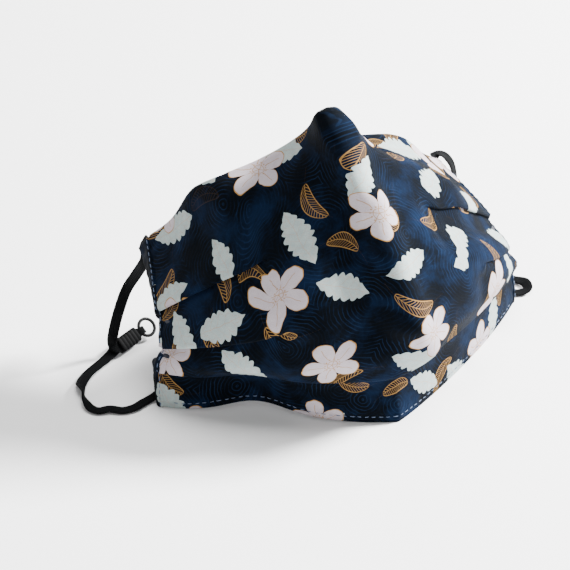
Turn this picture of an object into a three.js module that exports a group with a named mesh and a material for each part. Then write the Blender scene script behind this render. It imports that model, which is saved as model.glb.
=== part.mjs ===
// A pleated cloth face mask in its worn, opened shape, standing on its lower edge.
// Millimetres. X runs from the left hem to the right hem as seen from the front,
// the outer face looks to -Y, +Z is up and the lower edge stands on z = 0.
// The cloth is a row of sections: each runs from the top edge over the nose down to the
// lower edge, with three pleats folded into it, and neighbours are joined into one thin shell.
import * as THREE from 'three';

// Driving dimensions of the cloth
const footWidth = 156;       // between the two lower corners
const chinReach = 47;        // how far the chin stands in front of the lower corners
const peakHeight = 112;      // nose peak above the surface
const cornerBack = 42;       // how far the top corners lie behind the lower corners
const clothWall = 1;         // outer cloth and lining together
const foldGap = 0.2;         // air between folded layers of the cloth
const pleatDepth = 11;       // how far a pleat is folded under at the hems
const openSpan = 9;          // stretch over which an opened pleat still shows as a soft step
const topTurn = 6;           // width of the top edge that curls over to the back
const lowerArch = 3.5;       // lift of the slack stretch of the lower edge
const pieceGap = 0.3;        // air between neighbouring pieces

// Driving dimensions of the hems, the elastic and what is on it
const hemWidth = 7.6;        // stitched casing beside the pleats
const hemThickness = 3.2;
const channelSlack = 0.5;    // air around the elastic in the casing
const hemGap = 0.5;          // air between the cloth and the casing
const hemLift = 8;           // how far the back of a casing's lower end stands off the surface
const hemBendShare = 0.35;     // of a casing's thickness, straight before it turns
const hemRoundShare = 0.6;     // of half its thickness, rounded off before its outer edge
const hemFlatShare = 0.35;     // of half its thickness, left flat at its outer edge
const channelPlaceShare = 0.4; // of the room beside the channel, left on its inner side
const bandWidth = 4.2;       // flat elastic
const bandThickness = 0.8;
const bandCornerShare = 0.3;   // of the elastic's thickness, rounded at its edges
const strandSpacing = 1.7;   // between the two strands in the sleeve
const hemEntry = 5;          // how far the elastic reaches into the casing
const bandLead = 1.2;        // straight stretch of elastic outside a casing or sleeve
const sleeveLength = 9.6;
const sleeveWall = 0.7;
const sleeveGroove = 0.25;
const sleeveCorner = 1;        // corners of a sleeve outside, and of its opening
const openingCorner = 0.4;
const sleeveRibs = 6;
const ringDiameter = 8.2;
const ringWire = 1.3;
const foldShare = 0.75;      // of the elastic's width left where it is folded over the ring

// Resolution of the faceted solids
const sectionsAcross = 32;
const stepsPerSpan = 5;
const samplesPerSection = 140;
const longestStep = 4.5;      // between two rings of the elastic
const ringSteps = 24;
const ringSides = 8;

const cloth = { color: 0x1b2c52, roughness: 0.9, metalness: 0 };
const hemCloth = { color: 0x172646, roughness: 0.9, metalness: 0 };
const elastic = { color: 0x111216, roughness: 0.85, metalness: 0 };
const softPlastic = { color: 0x0d0e11, roughness: 0.6, metalness: 0 };
const hardPlastic = { color: 0x0a0a0c, roughness: 0.35, metalness: 0 };

// One row for each line that runs across the cloth from hem to hem, from the top edge down.
// reach: forward of the lower corners in the middle, a share of chinReach
// rise and hemRise: heights in the middle and at the hem, shares of peakHeight
// hemOut: from the middle to the hem, a share of half the footWidth
// hemBack: behind the lower corners at the hem, a share of cornerBack
// bow: how full the line is between the middle and the hem, 1 is straight
// fan: how far the cloth spreads towards the hems, 0 is even
// shift: sideways shift of the middle, a share of half the footWidth
// lift: extra height of the right half, a share of peakHeight
const crossLines = [
  { reach: -0.06, rise: 1.0, hemOut: 0.8, hemBack: 1.0, hemRise: 0.43, bow: 0.95, fan: 0.0, shift: -0.09, lift: 0 },
  { reach: 0.25, rise: 0.87, hemOut: 0.86, hemBack: 0.64, hemRise: 0.38, bow: 1.12, fan: 0.08, shift: -0.07, lift: 0 },
  { reach: 0.55, rise: 0.71, hemOut: 0.92, hemBack: 0.3, hemRise: 0.32, bow: 1.3, fan: 0.2, shift: -0.05, lift: 0.025 },
  { reach: 0.79, rise: 0.58, hemOut: 0.94, hemBack: 0.16, hemRise: 0.275, bow: 1.4, fan: 0.28, shift: -0.03, lift: 0.03 },
  { reach: 0.95, rise: 0.44, hemOut: 0.96, hemBack: 0.06, hemRise: 0.23, bow: 1.5, fan: 0.3, shift: -0.01, lift: 0.035 },
  { reach: 1.0, rise: 0.3, hemOut: 0.98, hemBack: 0.03, hemRise: 0.19, bow: 1.5, fan: 0.27, shift: 0, lift: 0.03 },
  { reach: 0.98, rise: 0.165, hemOut: 0.99, hemBack: 0.01, hemRise: 0.145, bow: 1.3, fan: 0.15, shift: 0, lift: 0.03 },
  { reach: 1.0, rise: 0.0, hemOut: 0.98, hemBack: 0.0, hemRise: 0.0, bow: 1.12, fan: 0.12, shift: 0, lift: 0 },
];

// One row for each pleat: the cross line of its fold, its depth as a share of pleatDepth, where it
// starts and ends to open on each side as shares of the half width, and what stays shut in the middle.
const pleats = [
  { line: 2, depth: 1.0, leftOpen: 0.3, leftShut: 0.58, rightOpen: 0.26, rightShut: 0.5, middle: 0 },
  { line: 4, depth: 1.0, leftOpen: 0.22, leftShut: 0.6, rightOpen: 0.36, rightShut: 0.72, middle: 0 },
  { line: 6, depth: 0.72, leftOpen: 0.1, leftShut: 0.75, rightOpen: 0.1, rightShut: 0.75, middle: 0.62 },
];

// One row for each soft ridge (height above 0) or dent (below 0) in the cloth. across runs from -1 at
// the left hem to 1 at the right hem and line counts the cross lines. width is a share of the
// half width of the cloth and height a share of peakHeight.
const creases = [
  { name: 'nose ridge', across: [-0.01, 0.02], line: [-0.4, 1.6], width: 0.08, height: 0.033 },
  { name: 'right cheek ridge', across: [0.04, 0.6], line: [0.5, 1.45], width: 0.11, height: 0.04 },
  { name: 'hollow right of the nose', across: [0.18, 0.3], line: [-0.4, 0.2], width: 0.11, height: -0.045 },
  { name: 'hollow left of the nose', across: [-0.13, -0.34], line: [-0.2, 0.3], width: 0.1, height: -0.035 },
  { name: 'swell of the right top edge', across: [0.6, 0.66], line: [-0.2, 0.2], width: 0.13, height: 0.03 },
  { name: 'front crease', across: [0.05, 0.04], line: [1.9, 4.3], width: 0.09, height: 0.035 },
  { name: 'front crease, lower end', across: [0.04, 0.13], line: [4.3, 5.4], width: 0.09, height: 0.035 },
  { name: 'dent beside the front crease', across: [-0.1, -0.09], line: [1.9, 4.3], width: 0.12, height: -0.04 },
  { name: 'swell of the left top edge', across: [-0.65, -0.55], line: [0.0, 0.4], width: 0.15, height: 0.07 },
  { name: 'pocket under the right pleat', across: [0.5, 0.8], line: [2.45, 2.6], width: 0.14, height: -0.03 },
  { name: 'slack of the lower edge', across: [-0.6, -0.55], line: [6.6, 7.6], width: 0.17, height: -0.05 },
];
const archCentre = -0.58;    // of the slack stretch, as a share of the half width
const archSpread = 0.27;

// How far each casing is turned back at its top and bottom end, as shares of a right angle
const hems = [
  { side: 'left', across: -1, topTurned: 0.2, lowTurned: 0.7 },
  { side: 'right', across: 1, topTurned: 0.05, lowTurned: 0.4 },
];

// The loops of elastic. upper and lower are hand-laid points between the casing and the sleeve:
// the middle of the band and, after it, the direction that its flat face looks to. The sleeve starts
// where both strands enter, its axis points to the ring and face is where its flat side looks to.
const loops = [
  {
    side: 'left',
    upper: [
      [-62.8, 46.9, 44.2, -0.8, 0.3, 0.6],
      [-61.9, 48.0, 42.4, -0.2, 0.9, 0.4],
      [-61.8, 47.9, 39.8, 0.5, 0.9, 0],
      [-62.8, 46.0, 37.0, 0.8, 0.6, 0],
      [-65.2, 43.4, 35.0, 0.7, 0.7, -0.2],
      [-68.9, 41.4, 32.6, 0.6, 0.8, -0.2],
      [-73.3, 40.0, 28.6, 0.5, 0.9, -0.2],
      [-77.7, 38.8, 19.6, -0.5, -0.9, 0.1],
      [-80.4, 38.8, 9.5, -0.5, -0.8, 0.2],
      [-81.2, 38.2, 5.6, -0.7, -0.3, 0.7],
    ],
    sleeve: { start: [-78.4, 38.1, 3.4], axis: [0.93, 0.35, 0.085], face: [0.16, -0.66, 0.72] },
    lower: [
      [-82.5, 36.9, 1.8, 0.1, -0.3, 1],
      [-86.9, 35.0, 0.9, 0, 0, 1],
      [-93.4, 31.6, 0.7, 0, 0, 1],
      [-97.7, 28.0, 0.9, 0.1, -0.1, 1],
      [-100.8, 23.6, 1.8, 0.6, 0.3, 0.8],
      [-102.0, 18.2, 2.6, 1, 0.1, 0.1],
      [-102.5, 14.0, 1.8, 0.6, -0.2, 0.8],
      [-102.1, 10.3, 0.9, 0.1, 0, 1],
      [-100.0, 7.7, 0.7, 0, 0, 1],
      [-96.0, 6.6, 1.0, 0, 0, 1],
      [-91.6, 3.9, 0.7, 0, 0, 1],
      [-87.0, 3.4, 0.8, 0, 0, 1],
      [-83.0, 4.8, 0.7, 0, 0, 1],
      [-79.6, 5.7, 0.8, -0.1, 0, 1],
      [-77.3, 5.8, 1.6, -0.7, 0, 0.7],
    ],
  },
  {
    side: 'right',
    upper: [
      [65.2, 47.4, 46.0, 0.4, 0.3, 0.8],
      [68.0, 47.8, 45.6, 0.2, -0.1, 1],
      [70.8, 47.2, 43.4, 0.5, -0.6, 0.6],
      [72.4, 45.6, 40.2, 0.6, -0.8, 0.2],
      [72.2, 43.0, 35.6, 0.5, -0.9, 0],
      [70.0, 39.2, 28.0, 0.5, -0.9, 0],
      [66.0, 35.6, 19.0, 0.4, -0.9, 0.2],
      [62.2, 32.8, 9.5, 0.4, -0.8, 0.3],
      [60.6, 31.2, 5.6, 0.6, -0.3, 0.7],
    ],
    sleeve: { start: [58.4, 30.4, 3.2], axis: [-0.94, -0.33, 0.085], face: [-0.12, 0.2, 0.97] },
    lower: [
      [62.0, 30.6, 1.8, -0.1, -0.2, 1],
      [66.4, 29.6, 0.8, 0, 0, 1],
      [73.0, 26.0, 0.7, 0, 0, 1],
      [79.4, 19.6, 0.7, 0, 0, 1],
      [84.4, 12.8, 0.9, 0, 0, 1],
      [86.8, 7.8, 1.6, -0.5, 0, 0.9],
      [85.6, 3.8, 1.2, -0.3, 0.2, 0.9],
      [82.6, 3.8, 0.7, 0, 0, 1],
      [80.2, 5.0, 0.8, 0.1, 0, 1],
      [78.6, 6.0, 1.6, 0.7, 0, 0.7],
    ],
  },
];

const halfWidth = footWidth / 2;
const layerPitch = clothWall + foldGap;
const lastLine = crossLines.length - 1;

function smooth(value) {
  const t = Math.min(1, Math.max(0, value));
  return t * t * (3 - 2 * t);
}

// A point on one cross line, without ridges and dents.
function linePoint(line, across) {
  const row = crossLines[line];
  const side = Math.abs(across);
  const fall = side ** row.bow;
  const spread = (1 + row.fan) * across - row.fan * across * side * side;
  const x = halfWidth * (row.hemOut * spread + row.shift * (1 - fall));
  const y = -chinReach * row.reach * (1 - fall) + cornerBack * row.hemBack * fall;
  const rightLift = row.lift * Math.sin(Math.PI * Math.max(0, across));
  const z = peakHeight * (row.rise * (1 - fall) + row.hemRise * fall + rightLift);
  return new THREE.Vector3(x, y, z);
}

// Catmull-Rom blend of the cross lines at one place across the cloth.
function plainPoint(across, place) {
  const clamped = Math.min(lastLine, Math.max(0, place));
  const start = Math.min(lastLine - 1, Math.floor(clamped));
  const t = clamped - start;
  const points = [-1, 0, 1, 2].map((offset) => {
    const line = start + offset;
    if (line < 0) return linePoint(0, across).multiplyScalar(2).sub(linePoint(1, across));
    if (line > lastLine) return linePoint(lastLine, across).multiplyScalar(2).sub(linePoint(lastLine - 1, across));
    return linePoint(line, across);
  });
  const weights = [
    -0.5 * t + t * t - 0.5 * t ** 3,
    1 - 2.5 * t * t + 1.5 * t ** 3,
    0.5 * t + 2 * t * t - 1.5 * t ** 3,
    -0.5 * t * t + 0.5 * t ** 3,
  ];
  const sum = new THREE.Vector3();
  points.forEach((point, index) => sum.addScaledVector(point, weights[index]));
  return sum;
}

// Height of the soft ridges and dents at one place, measured out of the cloth.
function creaseHeight(across, place) {
  let height = 0;
  for (const crease of creases) {
    const spanAcross = crease.across[1] - crease.across[0];
    const spanLine = (crease.line[1] - crease.line[0]) / lastLine;
    const fromAcross = across - crease.across[0];
    const fromLine = (place - crease.line[0]) / lastLine;
    const length = spanAcross ** 2 + spanLine ** 2;
    const along = Math.min(1, Math.max(0, (fromAcross * spanAcross + fromLine * spanLine) / length));
    const offAcross = fromAcross - along * spanAcross;
    const offLine = fromLine - along * spanLine;
    const off = Math.hypot(offAcross, offLine * 1.4) / crease.width;
    height += crease.height * peakHeight * Math.exp(-off * off);
  }
  return height;
}

// Outward direction of the cloth from two nearby differences of a surface.
function outward(surface, across, place) {
  const stepAcross = 0.01;
  const stepPlace = 0.05;
  const beforePlace = Math.min(lastLine - 2 * stepPlace, Math.max(0, place - stepPlace));
  const alongLine = surface(Math.min(1, across + stepAcross), place)
    .sub(surface(Math.max(-1, across - stepAcross), place));
  const downward = surface(across, beforePlace + 2 * stepPlace).sub(surface(across, beforePlace));
  return downward.cross(alongLine).normalize();
}

// A point of the cloth's outer face, with its ridges and dents and the arch of the lower edge.
function clothPoint(across, place) {
  const point = plainPoint(across, place);
  point.addScaledVector(outward(plainPoint, across, place), creaseHeight(across, place));
  const archPlace = (across - archCentre) / archSpread;
  const nearEdge = smooth((place - lastLine + 1.8) / 1.8);
  point.z += lowerArch * Math.exp(-archPlace * archPlace) * nearEdge;
  return point;
}

// One section of the cloth: lengths along it, and points and outward directions at any length.
function makeSection(across) {
  const samples = [];
  let length = 0;
  for (let index = 0; index <= samplesPerSection; index += 1) {
    const place = (index / samplesPerSection) * lastLine;
    const point = clothPoint(across, place);
    if (index > 0) length += point.distanceTo(samples[index - 1].point);
    samples.push({ place, point, length, normal: outward(clothPoint, across, place) });
  }
  const at = (wanted) => {
    const inside = Math.min(length, Math.max(0, wanted));
    let index = 1;
    while (index < samplesPerSection && samples[index].length < inside) index += 1;
    const before = samples[index - 1];
    const after = samples[index];
    const t = (inside - before.length) / (after.length - before.length);
    const point = before.point.clone().lerp(after.point, t);
    const normal = before.normal.clone().lerp(after.normal, t).normalize();
    const ahead = after.point.clone().sub(before.point).normalize();
    point.addScaledVector(ahead, wanted - inside);
    return { point, normal };
  };
  const lengthAt = (place) => {
    const index = Math.min(samplesPerSection, Math.round((place / lastLine) * samplesPerSection));
    return samples[index].length;
  };
  return { across, length, at, lengthAt };
}

// How far a pleat is shut at one place across, from 0, open, to 1, folded flat.
function pleatShut(pleat, across) {
  const side = Math.abs(across);
  const opens = across < 0 ? pleat.leftOpen : pleat.rightOpen;
  const shut = across < 0 ? pleat.leftShut : pleat.rightShut;
  return pleat.middle + (1 - pleat.middle) * smooth((side - opens) / (shut - opens));
}

// Where a pleat folds in one section, how deep it is, how far its layers step in, how far they
// spread where the pleat opens, and the radius of its bends.
function foldOf(section, pleat) {
  const shut = pleatShut(pleat, section.across);
  const closing = smooth((shut - 0.3) / 0.7);
  const depth = pleatDepth * pleat.depth * closing;
  return {
    place: section.lengthAt(pleat.line),
    depth,
    step: layerPitch * smooth(shut / 0.35),
    spread: openSpan * (1 - closing),
    round: Math.min(layerPitch / 2, depth / 2),
  };
}

// Stops along one visible panel of the cloth, rising from its tucked start to its fold.
function spanStops(from, to, startHeight, steps) {
  const stops = [];
  for (let index = 0; index < steps; index += 1) {
    const t = index / steps;
    stops.push({ along: from + (to - from) * t, height: startHeight * (1 - smooth(t * 1.2)) });
  }
  return [...stops, { along: to, height: 0 }];
}

// The stops of all visible panels of one section, one list for each panel from the top down.
function visiblePanels(section, folds) {
  const panels = [];
  let from = 0;
  let startHeight = 0;
  folds.forEach((fold, index) => {
    const steps = index === 0 ? stepsPerSpan * 2 : stepsPerSpan;
    panels.push(spanStops(from, fold.place - fold.round - fold.spread * 0.5, startHeight, steps));
    from = fold.place + fold.spread * 0.7;
    startHeight = -fold.step * 2;
  });
  panels.push(spanStops(from, section.length, startHeight, stepsPerSpan));
  return panels;
}

// The path of the cloth's middle layer through one section, as lengths along the section and
// heights out of it. A pleat turns under at its fold, runs up, turns again and comes down.
function sectionPath(section) {
  const path = [
    { along: topTurn * 0.1, height: -topTurn },
    { along: -topTurn * 0.28, height: -topTurn * 0.68 },
    { along: -topTurn * 0.3, height: -topTurn * 0.25 },
  ];
  const folds = pleats.map((pleat) => foldOf(section, pleat));
  visiblePanels(section, folds).forEach((stops, index) => {
    path.push(...stops);
    const fold = folds[index];
    if (!fold) return;
    path.push(
      { along: fold.place - fold.spread * 0.3, height: -fold.step * 0.5 },
      { along: fold.place - fold.round - fold.spread * 0.1, height: -fold.step },
      { along: fold.place - fold.depth + fold.round + fold.spread * 0.1, height: -fold.step },
      { along: fold.place - fold.depth + fold.spread * 0.3, height: -fold.step * 1.5 },
      { along: fold.place - fold.depth + fold.round + fold.spread * 0.5, height: -fold.step * 2 },
    );
  });
  return path;
}

// Both faces of the cloth along one section, half the wall to each side of the path.
function sectionFaces(section) {
  const path = sectionPath(section);
  const last = path.length - 1;
  const outer = [];
  const inner = [];
  path.forEach((spot, index) => {
    const before = path[Math.max(0, index - 1)];
    const after = path[Math.min(last, index + 1)];
    const unit = (a, b) => new THREE.Vector2(b.along - a.along, b.height - a.height).normalize();
    const heading = unit(before, spot).add(unit(spot, after)).normalize();
    const place = section.at(spot.along);
    const face = (side) => {
      const along = spot.along - heading.y * side;
      const height = spot.height + heading.x * side;
      const there = section.at(along);
      return there.point.addScaledVector(there.normal, height);
    };
    outer.push(face(clothWall / 2));
    inner.push(face(-clothWall / 2));
    if (index === last) {
      outer[index].z = place.point.z;
      inner[index].z = place.point.z;
    }
  });
  return { outer, inner };
}

// A closed solid swept through rings of points, with an optional tunnel swept through inner rings.
// cap lists the triangles of an end by the order of the points in a ring, the tunnel's after the others.
function sweptSolid(rings, tunnelRings, cap) {
  const positions = [];
  const triangles = [];
  const size = rings[0].length;
  const tunnelStart = rings.length * size;
  const tunnelSize = tunnelRings ? tunnelRings[0].length : 0;
  const addRings = (list) => list.forEach((ring) => ring.forEach((p) => positions.push(p.x, p.y, p.z)));
  const addWalls = (start, count, inward) => {
    for (let ring = 0; ring < rings.length - 1; ring += 1) {
      for (let index = 0; index < count; index += 1) {
        const next = (index + 1) % count;
        const a = start + ring * count + index;
        const b = start + ring * count + next;
        const c = start + (ring + 1) * count + next;
        const d = start + (ring + 1) * count + index;
        if (inward) triangles.push([a, c, b], [a, d, c]);
        else triangles.push([a, b, c], [a, c, d]);
      }
    }
  };
  addRings(rings);
  addWalls(0, size, false);
  if (tunnelRings) {
    addRings(tunnelRings);
    addWalls(tunnelStart, tunnelSize, true);
  }
  [0, rings.length - 1].forEach((ring) => {
    const vertex = (index) => (index < size
      ? ring * size + index
      : tunnelStart + ring * tunnelSize + index - size);
    cap.forEach(([a, b, c]) => triangles.push(ring === 0
      ? [vertex(a), vertex(c), vertex(b)]
      : [vertex(a), vertex(b), vertex(c)]));
  });
  const geometry = new THREE.BufferGeometry();
  geometry.setAttribute('position', new THREE.Float32BufferAttribute(positions, 3));
  geometry.setIndex(facingOut(positions, triangles).flat());
  geometry.computeVertexNormals();
  return geometry;
}

// Triangles of a flat end with a hole in it, all running round the same way as the outline.
function flatCap(outline, holes) {
  const corners = [outline, ...holes].flat();
  const outlineTurn = Math.sign(THREE.ShapeUtils.area(outline));
  return THREE.ShapeUtils.triangulateShape(outline, holes).map(([a, b, c]) => {
    const turn = Math.sign(THREE.ShapeUtils.area([corners[a], corners[b], corners[c]]));
    return turn === outlineTurn ? [a, b, c] : [a, c, b];
  });
}

// The same triangles, turned over if they enclose a negative volume.
function facingOut(positions, triangles) {
  const corner = (index) => new THREE.Vector3().fromArray(positions, index * 3);
  let volume = 0;
  triangles.forEach(([a, b, c]) => {
    volume += corner(a).dot(corner(b).cross(corner(c)));
  });
  return volume > 0 ? triangles : triangles.map(([a, b, c]) => [a, c, b]);
}

// The cloth between the two casings, from both faces of every section.
function pleatedPanelGeometry() {
  const rings = [];
  for (let index = 0; index <= sectionsAcross; index += 1) {
    const across = -1 + (2 * index) / sectionsAcross;
    const { outer, inner } = sectionFaces(makeSection(across));
    rings.push([...outer, ...inner.reverse()]);
  }
  const size = rings[0].length;
  const cap = [];
  for (let index = 0; index < size / 2 - 1; index += 1) {
    const facing = size - 1 - index;
    cap.push([index, index + 1, facing - 1], [index, facing - 1, facing]);
  }
  return sweptSolid(rings, null, cap);
}

// Outline of the casing across its length, in lengths out from the panel and up out of the cloth,
// and the outline of the channel for the elastic. turned is in shares of a right angle.
function hemSection(turned) {
  const angle = (turned * Math.PI) / 2;
  const half = hemThickness / 2;
  const bendStart = hemThickness * hemBendShare;
  const round = half * hemRoundShare;
  const flat = half * hemFlatShare;
  const pivot = new THREE.Vector2(hemGap + bendStart, -half);
  const heading = new THREE.Vector2(Math.cos(angle), -Math.sin(angle));
  const face = (share) => new THREE.Vector2(Math.sin(angle * share), Math.cos(angle * share));
  const spot = (along, up) => pivot.clone().addScaledVector(heading, along).addScaledVector(face(1), up);
  const reach = hemWidth - bendStart;
  const slide = Math.max(0, (hemGap - spot(0, -half).x) / Math.cos(angle));
  const backStart = spot(slide, -half);
  const inset = backStart.x > hemGap + 0.05;
  const outline = [
    new THREE.Vector2(hemGap, 0),
    pivot.clone().addScaledVector(face(0), half),
    pivot.clone().addScaledVector(face(0.5), half),
    spot(0, half),
    spot(reach - round, half),
    spot(reach, flat),
    spot(reach, -flat),
    spot(reach - round, -half),
    backStart,
    new THREE.Vector2(hemGap, inset ? -hemThickness : backStart.y * 0.5),
  ];
  const channelHalf = bandThickness / 2 + channelSlack;
  const channelLength = bandWidth + 2 * channelSlack;
  const channelStart = (reach - channelLength) * channelPlaceShare;
  const channel = [
    spot(channelStart, channelHalf),
    spot(channelStart + channelLength, channelHalf),
    spot(channelStart + channelLength, -channelHalf),
    spot(channelStart, -channelHalf),
  ];
  return { outline, channel };
}

// Frames along one hem from its top corner down, at the same stops as the cloth beside it and
// stepping in with it below every fold.
function hemFrames(hem) {
  const section = makeSection(hem.across);
  const stops = visiblePanels(section, pleats.map((pleat) => foldOf(section, pleat))).flat();
  return stops.map(({ along, height }) => {
    const { point, normal } = section.at(along);
    const ahead = section.at(along + 0.5).point.sub(section.at(along - 0.5).point).normalize();
    const out = ahead.clone().cross(normal).normalize();
    if (out.x * hem.across < 0) out.negate();
    const turned = hem.topTurned + (hem.lowTurned - hem.topTurned) * Math.sqrt(along / section.length);
    return { point, normal, out, up: height + clothWall / 2, turned, last: along === section.length };
  });
}

// A point of a casing's section in space. The lower end is slanted, so that the elastic gets out.
function hemPoint(frame, spot) {
  const point = frame.point.clone();
  point.addScaledVector(frame.out, spot.x).addScaledVector(frame.normal, spot.y + frame.up);
  if (frame.last) point.z = 0;
  const lift = Math.max(0, (hemLift * -spot.y) / hemWidth);
  point.z += lift * Math.max(0, 1 - point.z / (2 * hemLift));
  return point;
}

function hemGeometry(hem) {
  const frames = hemFrames(hem);
  const sections = frames.map((frame) => hemSection(frame.turned));
  const ringsOf = (key) => frames.map((frame, index) => sections[index][key].map((spot) => hemPoint(frame, spot)));
  return sweptSolid(ringsOf('outline'), ringsOf('channel'), flatCap(sections[0].outline, [sections[0].channel]));
}

// Points and face directions of the elastic inside a casing, from its end inwards.
function channelPoints(hem, fromEnd) {
  const frames = hemFrames(hem);
  const ordered = fromEnd === 'top' ? frames : frames.reverse();
  const points = ordered.map((frame) => {
    const corners = hemSection(frame.turned).channel.map((spot) => hemPoint(frame, spot));
    const middle = corners[0].clone().add(corners[1]).add(corners[2]).add(corners[3]).multiplyScalar(0.25);
    const face = corners[0].clone().add(corners[1]).sub(corners[2]).sub(corners[3]).normalize();
    return { middle, face, share: 1 };
  });
  const inside = [];
  let depth = 0;
  for (let index = 0; index < points.length - 1 && depth < hemEntry; index += 1) {
    const step = points[index].middle.distanceTo(points[index + 1].middle);
    if (depth + step > hemEntry) {
      const t = (hemEntry - depth) / step;
      points[index + 1].middle.lerpVectors(points[index].middle, points[index + 1].middle, t);
    }
    inside.push(points[index]);
    depth += step;
    if (depth >= hemEntry) inside.push(points[index + 1]);
  }
  const outside = inside[0].middle.clone().sub(inside[1].middle).setLength(bandLead).add(inside[0].middle);
  return [{ ...inside[0], middle: outside }, ...inside];
}

// Origin and directions of a sleeve: along its axis, across the band and out of its flat side.
function sleeveFrame(sleeve) {
  const start = new THREE.Vector3(...sleeve.start);
  const axis = new THREE.Vector3(...sleeve.axis).normalize();
  const wide = new THREE.Vector3(...sleeve.face).cross(axis).normalize();
  const face = axis.clone().cross(wide);
  const at = (along, across, up) => start.clone()
    .addScaledVector(axis, along).addScaledVector(wide, across).addScaledVector(face, up);
  return { axis, wide, face, at };
}

const ringPathRadius = (ringDiameter - ringWire) / 2;
const wireStandoff = 2.1;    // from the end of the sleeve to the middle of the ring's wire
const foldHeight = ringWire / 2 + pieceGap + bandThickness / 2;

// The elastic through its sleeve, over the wire of the ring and back through the sleeve.
function foldPoints(sleeve) {
  const frame = sleeveFrame(sleeve);
  const wire = sleeveLength + wireStandoff;
  const leg = strandSpacing / 2;
  // along the axis from the wire, height in shares of foldHeight and the band's width share
  const halfFold = [
    { along: -0.5, height: 1.02 },
    { along: 0.8, height: 0.92 },
    { along: 1.5, height: 0.5 },
  ];
  const fold = [
    ...halfFold,
    { along: 1.75, height: 0 },
    ...halfFold.map(({ along, height }) => ({ along, height: -height })).reverse(),
  ].map(({ along, height }, index, list) => ({
    middle: frame.at(wire + along, 0, foldHeight * height),
    face: frame.face.clone().multiplyScalar(Math.sign(height)).addScaledVector(frame.axis, 1 - Math.abs(height)),
    share: foldShare,
  }));
  const straight = (along, side) => ({
    middle: frame.at(along, 0, leg * side),
    face: frame.face.clone().multiplyScalar(side),
    share: 1,
  });
  return [
    straight(-bandLead, 1), straight(sleeveLength / 2, 1), straight(sleeveLength, 1),
    ...fold,
    straight(sleeveLength, -1), straight(sleeveLength / 2, -1), straight(-bandLead, -1),
  ];
}

// The whole run of one loop of elastic from inside the casing's top end to inside its lower end.
function loopPoints(loop, hem) {
  const laid = (rows) => rows.map(([x, y, z, faceX, faceY, faceZ]) => ({
    middle: new THREE.Vector3(x, y, z),
    face: new THREE.Vector3(faceX, faceY, faceZ),
    share: 1,
  }));
  return [
    ...channelPoints(hem, 'top').reverse(),
    ...laid(loop.upper),
    ...foldPoints(loop.sleeve),
    ...laid(loop.lower),
    ...channelPoints(hem, 'bottom'),
  ];
}

// A flat band swept along points, with a ring at every point and more where they lie far apart.
// Its face is kept from flipping over between one ring and the next.
function bandGeometry(points) {
  const curve = new THREE.CatmullRomCurve3(points.map((point) => point.middle), false, 'centripetal');
  const corner = bandThickness * bandCornerShare;
  const half = bandThickness / 2;
  const rings = [];
  let face = points[0].face;
  const addRing = (before, after, mix, t) => {
    const middle = curve.getPoint(t);
    const ahead = curve.getTangent(t);
    const turn = before.face.dot(after.face) < 0 ? -1 : 1;
    const hint = before.face.clone().lerp(after.face.clone().multiplyScalar(turn), mix);
    hint.addScaledVector(ahead, -hint.dot(ahead)).normalize();
    if (hint.dot(face) < 0) hint.negate();
    face = hint;
    const wide = ahead.clone().cross(face).normalize();
    const share = before.share + (after.share - before.share) * mix;
    const reach = (bandWidth / 2) * share;
    const sides = [
      [reach - corner, half], [reach, half - corner], [reach, corner - half], [reach - corner, -half],
      [corner - reach, -half], [-reach, corner - half], [-reach, half - corner], [corner - reach, half],
    ];
    rings.push(sides.map(([across, up]) => middle.clone().addScaledVector(wide, across).addScaledVector(face, up)));
  };
  const last = points.length - 1;
  for (let index = 0; index < last; index += 1) {
    const span = points[index].middle.distanceTo(points[index + 1].middle);
    const steps = Math.ceil(span / longestStep);
    for (let step = 0; step < steps; step += 1) {
      const mix = step / steps;
      addRing(points[index], points[index + 1], mix, (index + mix) / last);
    }
  }
  addRing(points[last - 1], points[last], 1, 1);
  const cap = [[0, 1, 2], [0, 2, 3], [0, 3, 7], [3, 4, 7], [4, 6, 7], [4, 5, 6]];
  return sweptSolid(rings, null, cap);
}

// A soft tube around both strands, ribbed outside.
function sleeveGeometry(sleeve) {
  const frame = sleeveFrame(sleeve);
  const innerAcross = bandWidth / 2 + pieceGap;
  const innerUp = (strandSpacing + bandThickness) / 2 + pieceGap;
  const rounded = (across, up, corner) => [
    [across - corner, up], [across - corner * 0.3, up - corner * 0.3], [across, up - corner],
    [across, corner - up], [across - corner * 0.3, corner * 0.3 - up], [across - corner, -up],
    [corner - across, -up], [corner * 0.3 - across, corner * 0.3 - up], [-across, corner - up],
    [-across, up - corner], [corner * 0.3 - across, up - corner * 0.3], [corner - across, up],
  ];
  const opening = rounded(innerAcross, innerUp, openingCorner);
  const outer = (depth) => rounded(innerAcross + sleeveWall - depth, innerUp + sleeveWall - depth, sleeveCorner);
  const rings = [];
  const tunnels = [];
  const stations = sleeveRibs * 2;
  for (let index = 0; index <= stations; index += 1) {
    const along = (sleeveLength * index) / stations;
    const depth = index % 2 === 0 ? sleeveGroove : 0;
    rings.push(outer(depth).map(([across, up]) => frame.at(along, across, up)));
    tunnels.push(opening.map(([across, up]) => frame.at(along, across, up)));
  }
  const flat = (list) => list.map(([across, up]) => new THREE.Vector2(across, up));
  return sweptSolid(rings, tunnels, flatCap(flat(outer(sleeveGroove)), [flat(opening)]));
}

// The small ring, in the plane of the sleeve, with its wire inside the fold of the elastic.
function ringGeometry(sleeve) {
  const frame = sleeveFrame(sleeve);
  const geometry = new THREE.TorusGeometry(ringPathRadius, ringWire / 2, ringSides, ringSteps);
  const middle = frame.at(sleeveLength + wireStandoff + ringPathRadius, 0, 0);
  const basis = new THREE.Matrix4().makeBasis(frame.axis, frame.wide, frame.face);
  return geometry.applyMatrix4(basis.setPosition(middle));
}

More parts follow.
